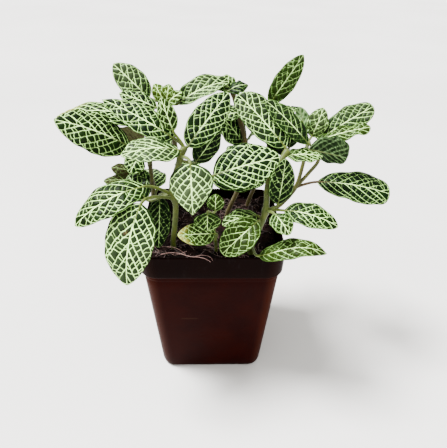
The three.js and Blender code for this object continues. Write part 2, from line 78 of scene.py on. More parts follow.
# An axis is its radius and the points it runs through. The second axis of a stem is its fork.
STEMS = {
    "stem_front_left": stem(
        0.1, [(1.4, [(-18.5, -20.5, 79), (-17, -22, 92), (-16.5, -22, 101), (-18, -21, 107.5),
                     (-14.5, -20, 120), (-12, -19, 126.5)])],
        leaf(0.93, (-9, -30, 124), (-8, -40, 105.5), 18.5, (0, -8, 6), arch=2, cup=-0.2, belly=0.36,
             veins=1.15, pale=0.9),
        leaf(1, (-10.5, -19, 127), (7, -3, 146), 14.5, (1, -7.5, 6), arch=1.5, dark=0.3),
        leaf(1, (-16.5, -17, 130), (-47.5, -6, 143), 13, (0.5, -7, 7.5), arch=2.5, belly=0.38),
        leaf(0.97, (-14, -22, 126.5), (-36.5, -32, 128), 17.5, (0, -3, 10), arch=2.5, pale=0.6),
        leaf(0.9, (-7.5, -15, 118), (3, -8, 132), 11, (5, -5, 6), arch=1.5, dark=0.75, veins=0.8),
        leaf(1, (-16.5, -18, 133.5), (-21.5, -13, 146), 8, (0, -9, 4), young=0.2),
        leaf(0.6, (-29.5, -36, 108.5), (-35.5, -52, 78.5), 21.5, (-1, -8, 6), arch=2.5, sweep=1.6, veins=1.15,
             pale=0.35, spot=(13.0, 2.0)),
        leaf(0.63, (-29, -27, 112), (-57.5, -38, 99), 16.5, (-1.5, -5, 8.5), arch=4.5, young=0.1, veins=0.95),
        leaf(0.64, (0.5, -22, 115), (29.5, -19, 122.5), 20.5, (0.5, -7, 7), arch=2, veins=1.05, dark=0.3),
        leaf(0.6, (0, -13, 108), (26.5, -6, 106.5), 17, (0, -4, 9), arch=1.5, dark=0.5, veins=0.95),
        leaf(0.6, (-24.5, -14, 100.5), (-25, -26, 79.5), 11, (2, -8, 2), dark=0.75, veins=0.85),
        leaf(0.63, (-29.5, -22, 103), (-38, -14, 111), 12, (-2, -6, 6), dark=0.6, veins=0.8),
    ),
    "stem_front_right": stem(
        0.1, [(1.5, [(18.5, -24.5, 79), (21, -25, 88.5), (24, -25, 98.5), (25, -21, 112),
                     (29.5, -16.5, 118.5), (33.5, -13, 123)])],
        leaf(1, (32.5, -12.5, 124.5), (11.5, 3, 143.5), 16, (-1, -7, 7), arch=2, cup=0.05, belly=0.52,
             pale=0.2, veins=0.95),
        leaf(0.52, (29, -27, 103.5), (31, -24, 124), 11.5, (1, -9, 3), dark=0.6, veins=0.9),
        leaf(0.52, (27, -32, 101.5), (32.5, -42, 97), 10, (0, -6, 8), arch=1.5, young=0.2, veins=0.9),
        leaf(0.53, (32, -28, 101), (54.5, -36, 97.5), 12.5, (0, -5, 8.5), arch=3, young=0.1, veins=0.9),
        leaf(0.38, (20.5, -28, 95.5), (4.5, -38, 84.5), 14.5, (-1, -7.5, 6.5), arch=1.5, cup=0.15, belly=0.5,
             young=0.3, veins=0.85),
        leaf(0.44, (20.5, -24, 96), (4.5, -29, 94), 11, (0, -3.5, 10), arch=1.5, young=0.2, veins=0.95),
        leaf(0.2, (21, -36.5, 82.5), (49.5, -42, 87.5), 10, (0, -5, 8.5), arch=7, peak=0.62, young=0.35,
             dark=0.3, veins=0.85),
        leaf(1, (34, -9, 120), (22, -5, 127.5), 9, (-2, -2, 8.5), dark=0.9, veins=0.5),
        leaf(0.97, (33, -15, 121.5), (49.5, -13, 120.5), 10, (0, -3, 10), young=0.2),
        leaf(1, (35, -8, 122.5), (36, 0, 134), 9, (3, -6, 4), dark=0.7, veins=0.7),
    ),
    "stem_right": stem(
        0.45, [(1.1, [(27, 3, 79), (36, 2, 88), (42, 1, 98), (44.5, 2, 109.5), (46, 3, 121.5)]),
               (1.0, [(42, 1, 98), (48, 2, 105.5), (52.5, 4, 111.5), (52, 8, 118.5)])],
        leaf(0.6, (52.5, 0, 101.5), (86.5, -8, 99), 18.5, (0, -5, 8.5), arch=2.5, cup=-0.2, belly=0.62,
             veins=0.85, dark=0.4, stalk=1.0),
        leaf(1, (43, -10, 125.5), (23.5, -5, 143), 10.5, (-1, -6.5, 7.5), arch=1.5, belly=0.5, pale=0.1,
             veins=0.8),
        leaf(1, (48.5, 8, 122), (54, 14, 134.5), 11, (1, -8, 5), young=0.3, pale=0.5),
        leaf(1, (45.5, 8, 123.5), (42, 14, 135), 8, (0, 7, 4), dark=0.5),
        leaf(1, (44.5, -6, 121), (62, -10, 118.5), 16, (1, 8.5, 2.5), arch=0.5, cup=0.3, belly=0.62, dark=1.0,
             veins=0.4),
        leaf(1, (52.5, 9, 120), (77.5, 12, 136), 14, (1, -6, 8), axis=1, arch=1.5, cup=-0.1, belly=0.55,
             wave=0.9, pale=0.2, young=0.1, veins=0.8),
        leaf(0.98, (51, 3, 122), (74, 1, 129.5), 8.5, (1, -4, 9), axis=1, belly=0.6, wave=1.3, young=0.3,
             veins=0.85),
        leaf(1, (54, 10, 119), (68, 34, 120), 16, (3, 3, 9), axis=1, arch=2.5),
    ),
    "stem_back_right": stem(
        0.8, [(1.1, [(20, 19, 79), (26.5, 18, 99.5), (29.5, 17, 119.5), (29, 17, 131.5)])],
        leaf(1, (28, 17, 135.5), (43.5, 24, 157), 11, (1, -8.5, 4), arch=1.5, young=0.25, veins=0.8),
        leaf(0.9, (30, 22, 126), (48, 44, 125.5), 16, (2, 4, 8.5), arch=2.5),
        leaf(0.5, (24, 24, 102), (36, 50, 95), 16, (1, 5, 8), arch=3),
    ),
    "stem_centre": stem(
        0.8, [(1.2, [(8, 6, 79), (14, 3, 98), (16.5, 2, 112), (16, 3, 120.5), (13, 8, 131),
                     (9.5, 10, 142.5)])],
        leaf(0.66, (15, 4, 120), (4, 8, 132), 13, (0, -6, 7), dark=0.5, veins=0.95),
        leaf(0.84, (12.5, 6.5, 134), (4, 3, 132.5), 8, (0, -5, 8), dark=0.4),
        leaf(1, (7.5, 8.5, 143.5), (16.5, 9.5, 146), 8.5, (0, -4, 8), arch=1.5, cup=-0.3, dark=0.5,
             veins=0.6),
        leaf(1, (9, 12, 142.5), (2, 22, 146), 11, (0, -6, 8), arch=2, young=0.2),
        leaf(0.68, (17, 6, 121), (23, 14, 122.5), 9, (-3, 7, 5), dark=0.4, young=0.4),
        leaf(0.8, (12, 13, 129), (4, 44, 126), 16, (0, 5, 8.5), arch=3),
        leaf(0.55, (13, 10, 108), (20, 42, 104), 17, (1, 5, 8.5), arch=3),
    ),
    "stem_back_left": stem(
        0.6, [(1.2, [(-13, 16, 79), (-16, 16, 100), (-20.5, 13, 125.5), (-22, 11, 136.5)])],
        leaf(1, (-16, 10, 137), (8, 14.5, 146.5), 12.5, (0, -5.5, 8), arch=3, cup=0.2, pale=0.4, young=0.1),
        leaf(1, (-30, 14, 138.5), (-46.5, 20, 152.5), 13.5, (-1, -8.5, 5), pale=0.5, young=0.1),
        leaf(1, (-22.5, 10, 138), (-27, 12, 145.5), 7, (0, -8, 5), young=0.6),
        leaf(1, (-21.5, 10, 138), (-20, 12, 145.5), 7, (0, -8, 5), young=0.6),
        leaf(1, (-21, 10, 137), (-14, 9, 142.5), 7, (0, -6, 8), young=0.4),
        leaf(1, (-26, 8, 135.5), (-43.5, 12, 141), 9, (0, -6, 7)),
        leaf(0.97, (-20, 17, 134), (-8, 42, 134.5), 15, (1, 4, 9), arch=3),
        leaf(0.7, (-22, 18, 113.5), (-44, 38, 114.5), 17, (-3, 4, 9), arch=3),
        leaf(0.45, (-15, 21, 98), (-10, 48, 90), 16, (0, 5, 8), arch=3),
    ),
    "stem_left": stem(
        0.6, [(1.2, [(-25, 2, 79), (-29, 0, 88), (-29.5, 0, 99.5), (-30, 1, 109.5), (-30.5, 1, 117.5)])],
        leaf(0.97, (-38.5, -3, 120.5), (-67.5, -12, 136), 20.5, (-0.5, -6.5, 7.5), arch=3.5, cup=-0.25,
             young=0.1),
        leaf(1, (-31.5, 8, 128.5), (-71, 2, 132.5), 17, (0, -3, 9.5), arch=5, cup=-0.2, yellow=0.7),
        leaf(1, (-31, 6, 116), (-46, 10, 124.5), 13, (1, 7, 4), brown=1.0),
        leaf(0.85, (-33, -12, 119), (-36.5, -17, 113.5), 10, (0, -8, 6)),
        leaf(0.62, (-36.5, -3, 102.5), (-53, 0, 101.5), 9, (0, -4, 9), young=0.3, veins=0.8, brown=0.4),
        leaf(0.66, (-36, 2, 104), (-50, 6, 106), 9, (0, -4, 9), young=0.3, veins=0.7, brown=0.5),
        leaf(0.6, (-31, -6, 101), (-38.5, -6, 109), 11, (0, -7, 6), dark=0.6, veins=0.8),
        leaf(0.88, (-34, 8, 111), (-61, 26, 111), 17, (-3, 3, 9), arch=3),
        leaf(0.5, (-28, 6, 95), (-39, 36, 91), 16, (-1, 5, 8), arch=3),
    ),
    "shoot_front": stem(
        0.1, [(0.9, [(2, -24, 79), (1, -26.5, 89), (0.5, -27.5, 99)])],
        leaf(0.5, (1.5, -30, 90), (-15, -36, 93), 10.5, (0, -7.5, 6.5), young=0.3, yellow=1.0),
        leaf(0.97, (-2, -33, 102.5), (-2, -39, 97), 12, (0, -7, 7), young=0.2, veins=0.8),
        leaf(1, (1.5, -25, 99), (1.5, -23, 106.5), 8, (0, -8.5, 5), arch=0.5, young=0.3, veins=0.85),
    ),
}


def unit(v):
    return v / (np.linalg.norm(v, axis=-1, keepdims=True) + 1e-12)


def dot(a, b):
    return np.sum(a * b, axis=-1, keepdims=True)


def between(t, start, end, a, b):
    """Runs evenly from a to b while t runs from start to end."""
    return (end - t) / (end - start) * a + (t - start) / (end - start) * b


def smooth_path(points, per_span):
    """Centripetal Catmull-Rom curve through the points."""
    p = np.array(points, float)
    p = np.vstack([2 * p[0] - p[1], p, 2 * p[-1] - p[-2]])
    out = []
    for a, b, c, d in zip(p[:-3], p[1:-2], p[2:-1], p[3:]):
        t1 = np.linalg.norm(b - a) ** 0.5
        t2 = t1 + np.linalg.norm(c - b) ** 0.5
        t3 = t2 + np.linalg.norm(d - c) ** 0.5
        t = np.linspace(t1, t2, per_span, endpoint=False)[:, None]
        ab, bc, cd = between(t, 0.0, t1, a, b), between(t, t1, t2, b, c), between(t, t2, t3, c, d)
        out.append(between(t, t1, t2, between(t, 0.0, t2, ab, bc), between(t, t1, t3, bc, cd)))
    out.append(p[-2:-1])
    return np.vstack(out)


def steps(path):
    """The distances from each point to the next."""
    return np.linalg.norm(np.diff(path, axis=0), axis=1)


def lengths(path):
    """How far along the path each of its points lies."""
    return np.concatenate([[0], np.cumsum(steps(path))])


def points_at(path, along, at):
    return np.stack([np.interp(at, along, column) for column in path.T], -1)


def resample(path, count):
    """The same curve with evenly spaced points."""
    along = lengths(path)
    return points_at(path, along, np.linspace(0, along[-1], count))


def along_line(line, share):
    """The point at that share of a line's length."""
    along = lengths(line)
    return points_at(line, along, share * along[-1])


def bell(s, top, rise, fall):
    """A curve from 0 over 1 at the top back to 0."""
    return s**rise * (1 - s) ** fall / (top**rise * (1 - top) ** fall)


def hump(s, peak):
    return bell(s, peak, max(1.0, peak / (1 - peak)), max(1.0, (1 - peak) / peak))


def outline_at(s, belly):
    rise = 0.56
    return bell(s, belly, rise, rise * (1 - belly) / belly)


class Blade:
    """A leaf's middle surface, the same as the solid's: s from base to tip, t across."""

    def __init__(self, row, phase):
        self.row = row
        self.phase = phase
        self.start = np.array(row["base"], float)
        self.chord = np.array(row["tip"], float) - self.start
        self.length = float(np.linalg.norm(self.chord))
        forward = self.chord / self.length
        face = np.array(row["face"], float)
        self.up = unit(face - face.dot(forward) * forward)
        self.side = np.cross(forward, self.up)

    def spine(self, s):
        s = np.asarray(s, float)[..., None]
        rise = self.up * self.row["arch"] * hump(s, self.row["peak"])
        return self.start + self.chord * s + rise + self.side * self.row["sweep"] * 4 * s * (1 - s)

    def half_width(self, s):
        return self.row["width"] / 2 * outline_at(s, self.row["belly"])

    def at(self, s, t):
        along = unit(self.spine(np.minimum(1, s + 0.01)) - self.spine(np.maximum(0, s - 0.01)))
        across = unit(self.side - dot(self.side, along) * along)
        normal = np.cross(across, along)
        half = self.half_width(s)
        reach = np.abs(t)
        ripple = np.sin(5 * np.pi * s + self.phase + 1.3 * np.sign(t))
        lift = half * (self.row["cup"] * reach**1.5 + 0.1 * reach)
        lift = lift + self.row["wave"] * ripple * t * t * np.minimum(1, half / 4)
        wide = half * t * (1 - 0.12 * abs(self.row["cup"]) * reach)
        return self.spine(s) + across * wide[..., None] + normal * lift[..., None]


def ring_faces(levels, count):
    """Faces of a closed tube of rings. Its two end points come after the rings."""
    faces = []
    for level in range(levels - 1):
        for i in range(count):
            a, b = level * count + i, level * count + (i + 1) % count
            faces.append((a, b, b + count, a + count))
    foot, last = levels * count, (levels - 1) * count
    for i in range(count):
        following = (i + 1) % count
        faces += [(foot, following, i), (foot + 1, last + i, last + following)]
    return faces


def grid_faces(grid):
    corners = (grid[:-1, :-1], grid[:-1, 1:], grid[1:, 1:], grid[1:, :-1])
    return np.stack(corners, -1).reshape(-1, 4).tolist()


def around(grid):
    """The grid's outer points in order."""
    return np.concatenate([grid[0, :-1], grid[:-1, -1], grid[-1, :0:-1], grid[:0:-1, 0]]).tolist()


def link(name, data):
    made = bpy.data.objects.new(name, data)
    bpy.context.scene.collection.objects.link(made)
    return made


class Builder:
    """Collects one piece's vertices, faces, materials and point values."""

    def __init__(self):
        self.points = []
        self.faces = []
        self.slots = []
        self.values = {name: [] for name in ("vein", "rib", "tone", "age")}
        self.count = 0

    def add(self, points, faces, slot=0, **values):
        points = np.asarray(points, float).reshape(-1, 3)
        for name, stored in self.values.items():
            stored.append(np.broadcast_to(values.get(name, 0.0), points.shape))
        self.points.append(points)
        self.faces.extend([tuple(int(i) + self.count for i in face) for face in faces])
        self.slots.extend(slot if isinstance(slot, list) else [slot] * len(faces))
        self.count += len(points)

    def tube(self, path, radii, sides, slot, tone=0.0, brown=0.0):
        """A closed round tube along a path, with a tip point at each end."""
        path = np.asarray(path, float)
        radii = np.broadcast_to(radii, len(path))
        along = unit(np.gradient(path, axis=0))
        aside = (0.31, 0.17, 0.93) if abs(along[0][2]) < 0.9 else (1.0, 0.2, 0.0)
        normals = [unit(np.cross(along[0], aside))]
        for direction in along[1:]:
            previous = normals[-1]
            normals.append(unit(previous - previous.dot(direction) * direction))
        normals = np.array(normals)
        binormals = np.cross(along, normals)
        angle = np.linspace(0, 2 * np.pi, sides, endpoint=False)[None, :, None]
        ring = np.cos(angle) * normals[:, None] + np.sin(angle) * binormals[:, None]
        points = (path[:, None] + ring * radii[:, None, None]).reshape(-1, 3)
        ends = [path[0] - along[0] * radii[0] * 0.4, path[-1] + along[-1] * radii[-1] * 0.6]
        faces = ring_faces(len(path), sides)
        self.add(np.vstack([points, ends]), faces, slot, tone=tone, age=(brown, 0.0, 0.0))

    def object(self, name, materials):
        points = np.vstack(self.points) * MM
        mesh = bpy.data.meshes.new(name)
        mesh.from_pydata(points.tolist(), [], self.faces)
        for material in materials:
            mesh.materials.append(material)
        mesh.polygons.foreach_set("material_index", self.slots)
        mesh.polygons.foreach_set("use_smooth", [True] * len(self.faces))
        for key, stored in self.values.items():
            attribute = mesh.attributes.new(key, "FLOAT_VECTOR", "POINT")
            attribute.data.foreach_set("vector", np.vstack(stored).ravel())
        mesh.update()
        return link(name, mesh)


BLADE_STEP = 0.248  # between a blade's points
BLADE_HALF = 0.2  # of its thickness
PUFF = 0.26  # rise of the skin between the veins
GROOVE = 0.12  # depth of the large veins below it

# Half the widths of the veins at their start and end, and the lean of the first side veins
MIDRIB = (0.25, 0.07)
SIDE_VEIN = (0.125, 0.06)
CROSS_VEIN = (0.058, 0.05)
LOOP = (0.07, 0.055)
SPUR = (0.045, 0.03)
BASE_LEANS = (72, 54, 44)
VEIN_STEP = 0.45  # between a side vein's points
VEIN_END = 0.945  # of the way to the margin
SWAY = 0.11  # how far the veins wander
AT_ONCE = 8000  # points measured at a time, to spare memory

# Radii of a leaf's stalk and of the rib under its blade, at their start and end
STALK = (0.78, 0.62)
RIB = (0.52, 0.1)
HAIR = 0.045
NODE_SWELL, NODE_SPREAD = 0.16, 0.022  # of the stem, where leaves grow


def ease(x, low, high):
    q = np.clip((x - low) / (high - low), 0, 1)
    return q * q * (3 - 2 * q)


class Veins:
    """The net of a leaf's veins, drawn flat: x along the midrib and y across, in millimetres."""

    def __init__(self, blade, rng):
        self.blade = blade
        self.length = blade.length
        self.width = blade.row["width"]
        self.rng = rng
        self.thin = float(np.clip(self.width / 17, 0.62, 1.0))
        self.pieces = []
        self.sways = [(*rng.uniform(-1.0, 1.0, 2), 1.3 + 0.35 * k, *rng.uniform(0, 6.3, 2)) for k in range(4)]
        self.tip = np.array([self.length * 0.985, 0.0])
        self.draw_line([(x, 0.0) for x in np.linspace(0, self.tip[0], 24)], MIDRIB, True)
        for side in (1, -1):
            self.draw_side(side)

    def half(self, x):
        return self.blade.half_width(np.clip(x / self.length, 0.001, 0.999))

    def draw_line(self, points, widths, large=False):
        """Adds a vein in straight pieces: both ends, half the width at them, and if it's large."""
        points = np.array(points, float)
        widths = np.linspace(*widths, len(points)) * self.thin
        large = np.full(len(points) - 1, large)
        self.pieces.append(np.column_stack([points[:-1], points[1:], widths[:-1], widths[1:], large]))

    def secondary(self, x, side, lean):
        """A side vein that leans towards the tip and turns along the margin."""
        point = np.array([x, 0.0])
        points = [point.copy()]
        for _ in range(90):
            reach = abs(point[1]) / self.half(point[0])
            if reach > VEIN_END or point[0] > self.tip[0]:
                break
            angle = lean * (1 - 0.4 * ease(reach, 0.3, 0.95))
            point = point + VEIN_STEP * np.array([np.cos(angle), side * np.sin(angle)])
            points.append(point.copy())
        return np.array(points)

    def draw_side(self, side):
        """The side veins start close together at the base and further apart towards the tip."""
        rng = self.rng
        count = round(self.length / 6.5 + 3)
        shift = 0.2 if side > 0 else 0.62
        share = (np.arange(count) + shift) / count
        starts = 0.93 * share**1.5 * self.length
        starts[1:] += rng.uniform(-0.1, 0.1, count - 1) * self.length / count
        veins = []
        for k, x in enumerate(starts):
            lean = BASE_LEANS[k] if k < len(BASE_LEANS) else 40 - 12 * x / self.length
            vein = self.secondary(x, side, np.radians(lean + rng.uniform(-4, 4)))
            if len(vein) > 2:
                veins.append(vein)
        for k, vein in enumerate(veins):
            self.draw_line(vein, SIDE_VEIN, True)
            last = k + 1 == len(veins)
            following = np.array([[self.length * 0.93, 0.0], self.tip]) if last else veins[k + 1]
            self.draw_loop(vein[-1], along_line(following, 1.0 if last else 0.88), side)
            if not last:
                rib = [(x, 0.0) for x in np.arange(vein[0, 0], following[0, 0], 0.3)]
                self.draw_bars(vein, np.vstack([rib, following]), 0.5 * (k % 2))

    def draw_loop(self, end, join, side):
        """The arc near the margin that ties a side vein to the next, with its spurs."""
        middle = (end + join) / 2
        reach = np.linalg.norm(join - end)
        lift = min(0.975 * self.half(middle[0]), abs(middle[1]) + 0.3 * reach)
        top = np.array([middle[0], side * lift])
        q = np.linspace(0, 1, 9)[:, None]
        arc = (1 - q) ** 2 * end + 2 * (1 - q) * q * top + q**2 * join
        self.draw_line(arc, LOOP)
        for share in self.rng.uniform(0.1, 0.9, max(1, int(reach / 1.4))):
            foot = along_line(arc, share)
            x = foot[0] + self.rng.uniform(0.1, 0.8)
            self.draw_line([foot, (x, side * self.half(x) * 0.98)], SPUR)

    def draw_bars(self, a, b, shift):
        """Cross veins between a side vein and what follows it, which leave one row of cells."""
        cell = 2.35 if self.width > 13 else 1.9
        count = max(1, round(steps(a).sum() / cell))
        at = (np.arange(1, count + 1) + 0.15 - shift) / (count + 0.4)
        for share in at + self.rng.uniform(-0.28, 0.28, count) / count:
            foot = along_line(a, min(share, 0.99))
            ahead = foot + (self.rng.uniform(-0.9, 1.3), 0.0)
            head = b[np.argmin(np.linalg.norm(b - ahead, axis=1))]
            middle = (foot + head) / 2 + self.rng.uniform(-0.2, 0.2, 2)
            if np.linalg.norm(head - foot) > 0.7:
                self.draw_line([foot, middle, head], CROSS_VEIN)

    def wander(self, x, y):
        """Shifts the points a little, so that all veins but the midrib run unevenly."""
        room = np.clip(self.half(x) - np.abs(y), 0, None)
        free = ease(np.abs(y), 0.2, 2.2) * ease(room, 0.0, 1.5)
        shift = np.zeros((2, *x.shape))
        for across, along, pace, start, turn in self.sways:
            wave = np.sin(pace * (across * y + along * x) / np.hypot(across, along) + start)
            shift += SWAY * wave * np.array([np.cos(turn), np.sin(turn)])[:, None, None]
        return x + shift[0] * free, y + shift[1] * free

    def distances(self, x, y):
        """How far each point lies outside the nearest vein, and outside the nearest large one."""
        x, y = self.wander(x, y)
        pieces = np.vstack(self.pieces)
        starts, run = pieces[:, :2], pieces[:, 2:4] - pieces[:, :2]
        wide, narrow, large = pieces[:, 4:].T
        square = (run**2).sum(1) + 1e-9
        points = np.stack([x.ravel(), y.ravel()], -1)
        nearest, nearest_major = np.empty(len(points)), np.empty(len(points))
        for i in range(0, len(points), AT_ONCE):
            reach = points[i : i + AT_ONCE, None] - starts
            q = np.clip((reach * run).sum(-1) / square, 0, 1)
            gap = np.sqrt(((reach - q[..., None] * run) ** 2).sum(-1)) - (wide + (narrow - wide) * q)
            nearest[i : i + AT_ONCE] = gap.min(1)
            nearest_major[i : i + AT_ONCE] = np.where(large, gap, 9).min(1)
        return nearest.reshape(x.shape), nearest_major.reshape(x.shape)


def add_blade(builder, blade, index):
    row = blade.row
    step = BLADE_STEP * (1 + 0.25 * row["dark"])
    rows = 2 * max(10, int(blade.length / step / 2)) + 1
    columns = 4 * max(3, int(row["width"] / step / 4)) + 1
    bunched = 0.5 - 0.5 * np.cos(np.linspace(0.06, np.pi - 0.06, rows))
    s_line = 0.3 * bunched + 0.7 * np.linspace(0.003, 0.997, rows)
    s, t = np.meshgrid(s_line, np.linspace(-1, 1, columns), indexing="ij")
    rng = np.random.default_rng(100 + index)
    edge = 1 + 0.015 * np.sin(s * blade.length * 0.9 + rng.uniform(0, 6)) * np.abs(t) ** 3
    middle = blade.at(s, t * edge)
    normal = unit(np.cross(np.gradient(middle, axis=1), np.gradient(middle, axis=0)))
    reach = np.abs(t)
    half = blade.half_width(s)
    from_rib = reach * half
    vein, major = Veins(blade, rng).distances(s * blade.length, t * half)
    rim = np.clip((half - from_rib) / 0.8, 0, 1)
    puff = PUFF * (1 - np.exp(-((np.maximum(vein, 0) / 0.55) ** 2))) * rim
    puff = puff - GROOVE * (1 - ease(major, -0.1, 0.5)) * rim

    thick = BLADE_HALF * (1 - 0.6 * reach**6)
    top = middle + normal * (thick + puff)[..., None]
    under = (middle + normal * (puff - thick)[..., None])[::2, ::2]
    yellow = row["yellow"] * np.clip((s - 0.6) / 0.4, 0, 1)
    cream = row["yellow"] * ease(s + 0.25 * reach, 0.8, 1.1)
    young = np.clip(row["young"] + yellow, 0, 1.3)
    brown = row["brown"]
    if row["spot"]:
        along, aside = row["spot"]
        brown = brown + np.exp(-((s * blade.length - along) ** 2 + (t * half - aside) ** 2) / 1.1)

    def triple(*parts):
        return np.stack(np.broadcast_arrays(s, *parts)[1:], -1)

    values = {
        "vein": triple(vein, major, half - from_rib),
        "rib": triple(from_rib, s, cream),
        # young, painted shade, and the veins' strength
        "tone": triple(young, row["dark"], row["veins"]),
        # brown, and a painted greyish sheen
        "age": triple(brown, row["pale"], 0.0),
    }

    grid = np.arange(rows * columns).reshape(rows, columns)
    low = np.arange(under[..., 0].size).reshape(under.shape[:2]) + grid.size
    faces = grid_faces(grid)
    border, border_low = around(grid), around(low)
    for i, (p, q) in enumerate(zip(border_low, np.roll(border_low, -1))):
        a, b, c = border[2 * i], border[2 * i + 1], border[(2 * i + 2) % len(border)]
        faces += [(a, p, b), (b, p, q), (b, q, c)]
    faces_low = [face[::-1] for face in grid_faces(low)]
    stacked = {key: np.vstack([v.reshape(-1, 3), v[::2, ::2].reshape(-1, 3)]) for key, v in values.items()}
    builder.add(np.vstack([top.reshape(-1, 3), under.reshape(-1, 3)]), faces + faces_low,
                [0] * len(faces) + [2] * len(faces_low), **stacked)


def stem_path(axis_points, forked):
    points = [np.array(p, float) for p in axis_points]
    if not forked:
        x, y, z = axis_points[0]
        points = [np.array((x, y, ROOT_FOOT)), np.array((x, y, z - 2))] + points
    return smooth_path(points, 14)


def add_hairs(builder, path, radius, rng, per_mm=3.0, long=0.9):
    """Short soft hairs, sunk into the stalk they grow from."""
    fine = resample(path, 60)
    along = unit(np.gradient(fine, axis=0))
    for _ in range(int(steps(path).sum() * per_mm)):
        i = rng.integers(2, 58)
        side = unit(rng.normal(size=3))
        side = unit(side - side.dot(along[i]) * along[i])
        out = unit(side + along[i] * rng.uniform(-0.25, 0.35))
        foot = fine[i] + side * radius * 0.85
        tip = foot + out * rng.uniform(0.4, 1.0) * long
        u = unit(np.cross(out, along[i])) * HAIR
        v = unit(np.cross(out, u)) * HAIR
        ring = [foot + u, foot - 0.5 * u + 0.87 * v, foot - 0.5 * u - 0.87 * v]
        builder.add(np.array(ring + [tip]), [(0, 1, 3), (1, 2, 3), (2, 0, 3), (0, 2, 1)], 3)


def add_petiole(builder, blade, path, rng):
    fine = resample(path, 200)
    i = round(blade.row["at"] * 199)
    root = fine[i]
    growth = unit(np.gradient(fine, axis=0)[i])
    reach = np.linalg.norm(blade.start - root)
    heading = unit(blade.spine(0.08) - blade.start)
    p1 = root + 0.3 * (blade.start - root) + growth * 0.1 * reach
    p2 = blade.start - heading * 0.22 * reach
    q = np.linspace(0, 1, 14)[:, None]
    bend = (1 - q) ** 3 * root + 3 * (1 - q) ** 2 * q * p1 + 3 * (1 - q) * q**2 * p2 + q**3 * blade.start
    s = np.linspace(0.05, 0.86, 16)
    line = np.vstack([bend, blade.spine(s) - blade.up * 0.28])
    small = min(1.0, blade.row["width"] / 15)
    stalk = np.linspace(*STALK, len(bend)) * (0.75 + 0.25 * small)
    stalk[0] *= 1.25
    rib = np.linspace(*RIB, len(s)) * (0.6 + 0.4 * small)
    young = 0.35 + 0.4 * blade.row["young"]
    # The stalk takes most of its blade's painted shade.
    builder.tube(line, np.concatenate([stalk, rib]), 8, 1, tone=(young, blade.row["dark"] * 0.7, 1.0),
                 brown=max(blade.row["stalk"], blade.row["brown"]))
    if reach > 2.5:
        add_hairs(builder, bend, 0.7, rng, per_mm=2.2, long=0.7)


def make_leafy_stem(name, row, number, materials):
    builder = Builder()
    rng = np.random.default_rng(1000 + number)
    paths = []
    for order, (radius, points) in enumerate(row["axes"]):
        path = stem_path(points, order > 0)
        paths.append(path)
        fine = resample(path, 70)
        at = np.linspace(0, 1, 70)
        swell = np.zeros(70)
        for one in row["leaves"]:
            if one["axis"] == order:
                swell += NODE_SWELL * np.exp(-(((at - one["at"]) / NODE_SPREAD) ** 2))
        radii = radius * (1.0 - 0.16 * at + np.minimum(swell, 0.3))
        # A little young green and a little painted shade.
        builder.tube(fine, radii, 12, 1, tone=(0.3, 0.1, 1.0), brown=row["brown"])
        add_hairs(builder, path, radius * 0.95, rng)
    for i, one in enumerate(row["leaves"]):
        blade = Blade(one, 2.4 * i)
        add_petiole(builder, blade, paths[one["axis"]], rng)
        add_blade(builder, blade, number * 20 + i)
    piece = builder.object("foliage_" + name, materials)
    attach(piece, "root")
    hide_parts(name)


class Look:
    """A node material. Places are in metres here, and a point's own values in millimetres."""

    def __init__(self, name):
        self.material = bpy.data.materials.new(name)
        self.material.use_nodes = True
        self.tree = self.material.node_tree
        self.shader = self.tree.nodes["Principled BSDF"]

    def node(self, kind, props=None, **inputs):
        made = self.tree.nodes.new(kind)
        for key, value in (props or {}).items():
            setattr(made, key, value)
        for key, value in inputs.items():
            self.set(made.inputs[key.replace("_", " ")], value)
        return made

    def set(self, socket, value):
        if isinstance(value, bpy.types.NodeSocket):
            self.tree.links.new(value, socket)
        else:
            socket.default_value = value

    def math(self, operation, *values):
        made = self.node("ShaderNodeMath", {"operation": operation})
        for socket, value in zip(made.inputs, values):
            self.set(socket, value)
        return made.outputs[0]

    def add(self, a, b):
        return self.math("ADD", a, b)

    def times(self, a, b):
        return self.math("MULTIPLY", a, b)

    def line(self, value, slope, start):
        return self.math("MULTIPLY_ADD", value, slope, start)

    def ease(self, value, low, high, start=0.0, end=1.0):
        """Runs from start to end, in an S, while the value runs from low to high."""
        made = self.node("ShaderNodeMapRange", {"interpolation_type": "SMOOTHSTEP"})
        for socket, number in zip(made.inputs, (value, low, high, start, end)):
            self.set(socket, number)
        return made.outputs[0]

    def mix(self, factor, a, b):
        """Goes from colour a to b."""
        made = self.node("ShaderNodeMix", {"data_type": "RGBA"})
        self.set(made.inputs[0], factor)
        for socket, value in zip([s for s in made.inputs if s.type == "RGBA"], (a, b)):
            self.set(socket, (*value, 1.0) if isinstance(value, tuple) else value)
        return next(s for s in made.outputs if s.type == "RGBA")

    def parts(self, vector):
        made = self.node("ShaderNodeSeparateXYZ", Vector=vector)
        return [made.outputs[k] for k in "XYZ"]

    def split(self, name):
        """The three values that each point holds under this name."""
        made = self.node("ShaderNodeAttribute", {"attribute_name": name})
        return self.parts(made.outputs["Vector"])

    def place(self):
        return self.node("ShaderNodeTexCoord").outputs["Object"]

    def stretched(self, place, amount):
        """The place with its height scaled, which draws noise out along Z."""
        return self.node("ShaderNodeMapping", Vector=place, Scale=(1.0, 1.0, amount)).outputs[0]

    def noise(self, vector, scale, detail=2.0, rough=0.5):
        return self.node(
            "ShaderNodeTexNoise", Vector=vector, Scale=scale, Detail=detail, Roughness=rough
        ).outputs[0]

    def bump(self, height, strength, distance, under=None):
        made = self.node("ShaderNodeBump", Height=height, Strength=strength, Distance=distance)
        if under is not None:
            self.set(made.inputs["Normal"], under)
        return made.outputs[0]

    def finish(self, colour, roughness, specular=0.5, normal=None):
        self.set(self.shader.inputs["Base Color"], colour)
        self.set(self.shader.inputs["Roughness"], roughness)
        self.shader.inputs["Specular IOR Level"].default_value = specular
        if normal is not None:
            self.set(self.shader.inputs["Normal"], normal)
        return self.material


